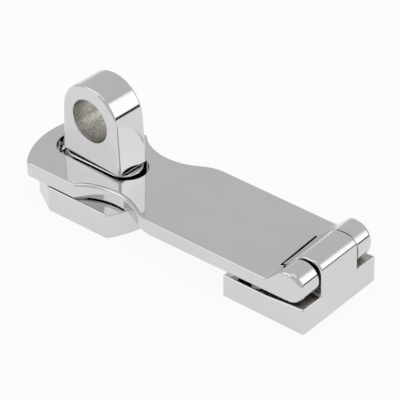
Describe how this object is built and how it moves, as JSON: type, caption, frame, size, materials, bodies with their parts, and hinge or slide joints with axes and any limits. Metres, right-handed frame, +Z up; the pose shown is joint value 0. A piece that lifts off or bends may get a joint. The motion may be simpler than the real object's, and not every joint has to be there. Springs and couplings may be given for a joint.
{
  "type": "hasp and staple",
  "caption": "Cast stainless hasp: a waisted, slotted leaf hinged on a low base closes over a staple base whose padlock eye swivels.",
  "frame": {"origin": "middle of the hinge base's underside, on the mounting plane", "axes": "-X along the leaf towards the staple, Y along the hinge pin, +Z up off the mounting plane"},
  "size_m": [0.0948, 0.029, 0.0349],
  "materials": {
    "polished_steel": "mirror-polished cast stainless steel",
    "turned_steel": "plain turned stainless steel",
    "spring_steel": "plain spring stainless steel"
  },
  "bodies": {
    "bases": {"hinge_base": "polished_steel", "staple_base": "polished_steel", "disc_spring": "spring_steel"},
    "leaf": {"hasp_leaf": "polished_steel", "hinge_pin": "turned_steel"},
    "eye": {"swivel_eye": "polished_steel", "retaining_washer": "turned_steel"}
  },
  "joints": [
    {"name": "leaf_hinge", "type": "hinge", "parent": "bases", "child": "leaf", "pos_m": [0.0079, 0, 0.012], "axis": [0, 1, 0], "range_deg": [0, 180]},
    {"name": "eye_swivel", "type": "hinge", "parent": "bases", "child": "eye", "pos_m": [-0.06285, 0, 0.0121], "axis": [0, 0, 1], "continuous": true}
  ]
}
